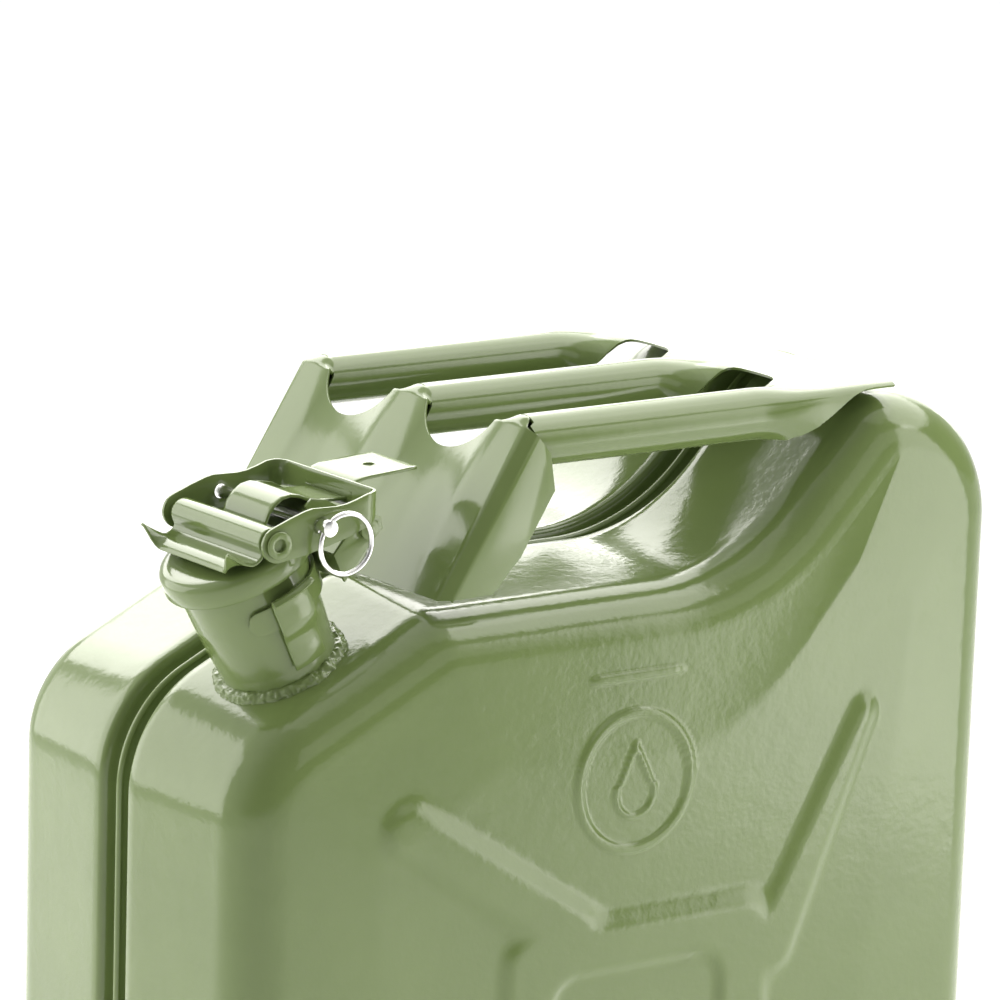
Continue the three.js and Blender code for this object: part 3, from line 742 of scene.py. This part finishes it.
def drill(obj, at, axis, radius):
    """A round hole through the object."""
    cut = new_object("cut", bpy.data.meshes.new("cut"))
    with Editing(cut.data) as bm:
        bmesh.ops.create_cone(bm, cap_ends=True, segments=32, radius1=radius * MM,
                              radius2=radius * MM, depth=DRILL_LENGTH * MM)
    turn = Vector(axis).to_track_quat("Z", "Y").to_matrix().to_4x4()
    cut.matrix_world = Matrix.Translation(Vector(at) * MM) @ turn
    bpy.context.view_layer.update()
    hole = obj.modifiers.new("hole", "BOOLEAN")
    hole.operation, hole.object, hole.solver = "DIFFERENCE", cut, "EXACT"
    apply(obj)
    mesh = cut.data
    bpy.data.objects.remove(cut)
    bpy.data.meshes.remove(mesh)


def sheet(name, grid, nodes, thickness=1.15, holes=()):
    """A piece of sheet metal through a grid of points on its middle surface."""
    verts, faces = loft(grid, close_ring=False)
    obj = build(name, verts, faces, nodes, angle=0)
    thicken(obj, thickness, 0)
    apply(obj)
    for hole in holes:
        drill(obj, *hole)
    round_edges(obj, 0.3)
    apply(obj)
    return finish(obj, nodes, PAINT_SMALL, angle=50)


PX, _, PZ = filler(PIVOT[0], 0, PIVOT[1])
PIN_AT = (PX + 17.3, PZ + 5)
# lever pieces are drawn as (x, z) from the pivot
EYE_R, WALL_X, WALL_BEND = 6.3, 42.4, 6
ARM_TOP = [(-2.7, 5.7), (5, 8.6), (13, 11.2), (26, 10.9), (31, 12.0), (36, 13.8), (40, 14.4),
           (50, 14.4)]
ARM_FOOT = [(0, -EYE_R), (12, -4.6), (27, -0.9), (37, 2.6), (41, 5.2), (50, 5.2)]


def arm_edges(x):
    """Lower and upper edge of a lever arm, round at the pivot."""
    bow = math.sqrt(max(EYE_R ** 2 - x * x, 0.01))
    top = bow if x < ARM_TOP[0][0] else np.interp(x, *zip(*ARM_TOP))
    return (-bow if x < 0 else np.interp(x, *zip(*ARM_FOOT))), top


# one strip bent to a U: near arm, rear wall, far arm
plan = [(x, -ARM_V) for x in (-6.29, -6.1, -5.5, -4.6, -3.4, -1.8, 0, 2, 5, 8, 11, 14, 17, 20,
                              24, 28, 32, WALL_X - WALL_BEND)]
plan += [(WALL_X - WALL_BEND + WALL_BEND * math.sin(math.radians(t)),
          -ARM_V + WALL_BEND - WALL_BEND * math.cos(math.radians(t)))
         for t in range(15, 91, 15)]
plan += [(WALL_X, y) for y in (-20, -14, -7, 0)]
plan += [(x, -y) for x, y in reversed(plan[:-1])]
grid = []
for x, y in plan:
    low, high = arm_edges(x)
    grid.append([(PX + x, NECK_Y + y, PZ + low + (high - low) * k / 4) for k in range(5)])
sheet("lever_yoke_bent", grid, ["lever_yoke"],
      holes=[((PIN_AT[0], NECK_Y, PIN_AT[1]), (0, 1, 0), 2.6)])

across = [k * 2.0 - 14 for k in range(15)]
tab = [(42.3, 8.5), (42.35, 10.6), (42.8, 12.6), (44.2, 14.0), (46.6, 14.8), (50, 15.2),
       (56, 15.6), (62, 16.0), (67, 16.3), (69.5, 16.45)]
grid = [[(PX + x, NECK_Y + v * (1 if x < 66 else 0.97), PZ + z) for v in across]
        for x, z in tab]
sheet("lever_tab", grid, ["lever_yoke"],
      holes=[((PX + 58.5, NECK_Y, PZ + 16), (0, 0.02, 1), 2.1)])
saddle = [(6.9, 0.2), (7.3, 3.0), (8.6, 6.2), (10.8, 9.0), (13.8, 11.0), (17.3, 11.7),
          (20.8, 11.2), (24, 9.8), (27, 8.6), (31, 8.1), (36, 8.0), (41.7, 8.0)]
grid = [[(PX + x, NECK_Y + v * (0.93 if x < 26 else 0.8), PZ + z) for v in across]
        for x, z in saddle]
sheet("lever_saddle", grid, ["lever_strap"])

BARREL_R = 4.6
barrel = [(PIVOT[0] + BARREL_R * math.cos(math.radians(t)),
           PIVOT[1] + BARREL_R * math.sin(math.radians(t))) for t in range(-60, 196, 15)]
lip = [(-3.6, 50.7), (-4.8, 49.9), (-6.4, 49.6), (-8.4, 49.9), (-10.4, 50.5), (-12.2, 50.9),
       (-13.9, 50.8), (-15.1, 50.4), (-16.0, 49.9)]
widths = (0, 5, 10, 15, 19, 20.5, 22, 23.2, 24.4, 25.5, 26.6, 27.5)
wide = sorted({s * v for v in widths for s in (-1, 1)})
grid = []
for u, h in barrel + lip:
    row = []
    for v in wide:
        # how far into a curled ear: 0 on the flat lip, 1 at the ear's tip
        curl = ease((abs(v) - 19.5) / 7) * max(0.0, (-8.4 - u) / 7.6)
        row.append(filler(u - 1.5 * curl + 2.2 * curl * curl, v, h + 8.6 * curl ** 1.4))
    grid.append(row)
sheet("thumb_plate_bent", grid, ["thumb_plate"], thickness=1.1)


def round_neck(angle, r, h):
    """A place round the neck, by its angle in degrees."""
    return filler(r * math.cos(math.radians(angle)), r * math.sin(math.radians(angle)), h)


BAND_R, BAND_HALF, BAND_H = 24.0, 4.5, 26
grid = []
for k in range(65):
    a = -128 + 4 * k
    t = max(0.0, (abs(a) - 117.3) / 10.71)
    half = BAND_HALF * math.sqrt(max(1 - t * t, 0.001))
    grid.append([round_neck(a, BAND_R, BAND_H + half * j / 3) for j in range(-3, 4)])
sheet("neck_band_bent", grid, ["neck_band"], thickness=1.1)
strap = [(22.9, 3.5), (23.3, 9), (23.7, 14.5), (24.6, 17), (25.9, 19), (26.3, 22), (26.4, 27),
         (26.5, 30), (27.0, 32), (28.3, 33.6), (30.0, 33.8), (31.2, 32.6)]
for name, middle in (("near", -88), ("far", 88)):
    grid = [[round_neck(middle + a, r, h) for a in (-17, -13, -9, -4.5, 0, 4.5, 9, 13, 17)]
            for r, h in strap]
    sheet("lug_bent_" + name, grid, ["lug_" + name], thickness=1.1)

# split ring: one closed wire, a little waisted where its two turns meet
RING_R, WIRE_R, WIRE_Y, WAIST = 10.5, 1.0, 0.95, 0.22
hang = math.radians(-39)
rx = PIN_AT[0] + RING_R * math.cos(hang)
rz = PIN_AT[1] + RING_R * math.sin(hang)
ry = NECK_Y - ARM_V - 4
rings = []
for k in range(72):
    a = 2 * math.pi * k / 72
    ring = []
    for j in range(20):
        b = 2 * math.pi * j / 20
        out = RING_R + WIRE_R * math.cos(b)
        ring.append((rx + out * math.cos(a),
                     ry + WIRE_Y * math.sin(b) * (1 - WAIST * math.cos(b) ** 8),
                     rz + out * math.sin(a)))
    rings.append(ring)
verts, faces = loft(rings, close_rows=True)
build("ring_wire", verts, faces, ["split_ring"], ZINC, angle=0)

# ---- floor, light, camera -------------------------------------------------------------------
SKY_FRONT, SKY_BACK = 0.22, 1.2

floor = new_object("floor", bpy.data.meshes.new("floor"))
with Editing(floor.data) as bm:
    bmesh.ops.create_grid(bm, x_segments=8, y_segments=8, size=9)
m = Nodes("floor_white")
m.join(m.ramp(m.noise(3, 2), (0.3, (0.90, 0.90, 0.90)), (0.7, (0.93, 0.93, 0.93))),
       m.shader.inputs["Base Color"])
m.put(Roughness=0.6, Emission_Strength=0.32)
m.shader.inputs["Emission Color"].default_value = (1, 1, 1, 1)
floor.data.materials.append(m.material)

# the sky is brighter behind the can than in front of it
world = bpy.data.worlds.new("studio")
world.use_nodes = True
sky = world.node_tree
side = sky.nodes.new("ShaderNodeVectorMath")
side.operation = "DOT_PRODUCT"
side.inputs[1].default_value = (-0.25, 0.9, 0.2)
sky.links.new(sky.nodes.new("ShaderNodeTexCoord").outputs["Generated"], side.inputs[0])
ramp = sky.nodes.new("ShaderNodeMapRange")
ramp.interpolation_type = "SMOOTHSTEP"
ramp.inputs["From Min"].default_value, ramp.inputs["From Max"].default_value = -0.4, 0.6
ramp.inputs["To Min"].default_value, ramp.inputs["To Max"].default_value = SKY_FRONT, SKY_BACK
sky.links.new(side.outputs["Value"], ramp.inputs["Value"])
sky.nodes["Background"].inputs["Color"].default_value = (1, 0.995, 0.97, 1)
sky.links.new(ramp.outputs["Result"], sky.nodes["Background"].inputs["Strength"])
scene.world = world


def card(name, at, aim_z, size, radiance):
    """A softbox: a white card of a given brightness, facing the can's axis at aim_z."""
    light = bpy.data.lights.new(name, "AREA")
    light.shape, light.size, light.size_y = "RECTANGLE", size[0], size[1]
    light.energy = radiance * math.pi * size[0] * size[1]
    light.color = (1, 0.985, 0.94)
    obj = new_object(name, light)
    obj.location = at
    aim = Vector((0, 0, aim_z)) - Vector(at)
    obj.rotation_euler = aim.to_track_quat("-Z", "Y").to_euler()
    obj.visible_camera = False


def around(azimuth, distance, height):
    """A place on a circle about the can; the azimuth turns from -Y towards +X."""
    a = math.radians(azimuth)
    return math.sin(a) * distance, -math.cos(a) * distance, height


card("top_card", (0.2, -0.2, 1.7), 0.3, (1.2, 1.2), 0.8)
card("left_card", (-0.95, 1.0, 0.68), 0.3, (1.1, 1.1), 2.9)
card("back_card", (1.0, 1.35, 0.78), 0.4, (1.8, 0.8), 2.0)
card("high_card", (0.3, 1.25, 1.35), 0.4, (1.5, 0.8), 5.4)
card("over_card", (1.0, 0.05, 1.45), 0.4, (2.1, 1.0), 4.0)
card("right_card", around(47.4, 1.2, 0.52), 0.5, (0.36, 1.2), 3.6)
card("front_card", around(36.9, 1.2, 0.52), 0.5, (0.09, 1.2), 2.2)
card("brow_card", around(15, 1.7, 1.15), 0.4, (1.3, 0.7), 0.9)

scene.view_settings.view_transform = "Standard"

PICTURE, SENSOR = 1000, 36       # pixels and millimetres across


def place_camera(azimuth, elevation, roll, aim, shift, distance, focal):
    """Looks at a place from an azimuth and elevation; focal is in pixels, shift in metres."""
    a, e, r = math.radians(azimuth), math.radians(elevation), math.radians(roll)
    back = Vector((math.sin(a) * math.cos(e), -math.cos(a) * math.cos(e), math.sin(e)))
    right = Vector((math.cos(a), math.sin(a), 0))
    up = back.cross(right)
    right2 = math.cos(r) * right + math.sin(r) * up
    up2 = -math.sin(r) * right + math.cos(r) * up
    at = Vector(aim) - right2 * shift[0] - up2 * shift[1] + back * distance
    camera = bpy.data.cameras.new("camera")
    camera.lens, camera.sensor_width = focal * SENSOR / PICTURE, SENSOR
    camera.clip_start, camera.clip_end = 0.05, 50
    obj = new_object("camera", camera)
    obj.matrix_world = (Matrix.Translation(at)
                        @ Matrix((right2, up2, back)).transposed().to_4x4())
    scene.camera = obj


place_camera(azimuth=-36.57, elevation=12.40, roll=1.81, aim=(0, 0, 0.350),
             shift=(0.00414, -0.06788), distance=1.92344, focal=5220.7)
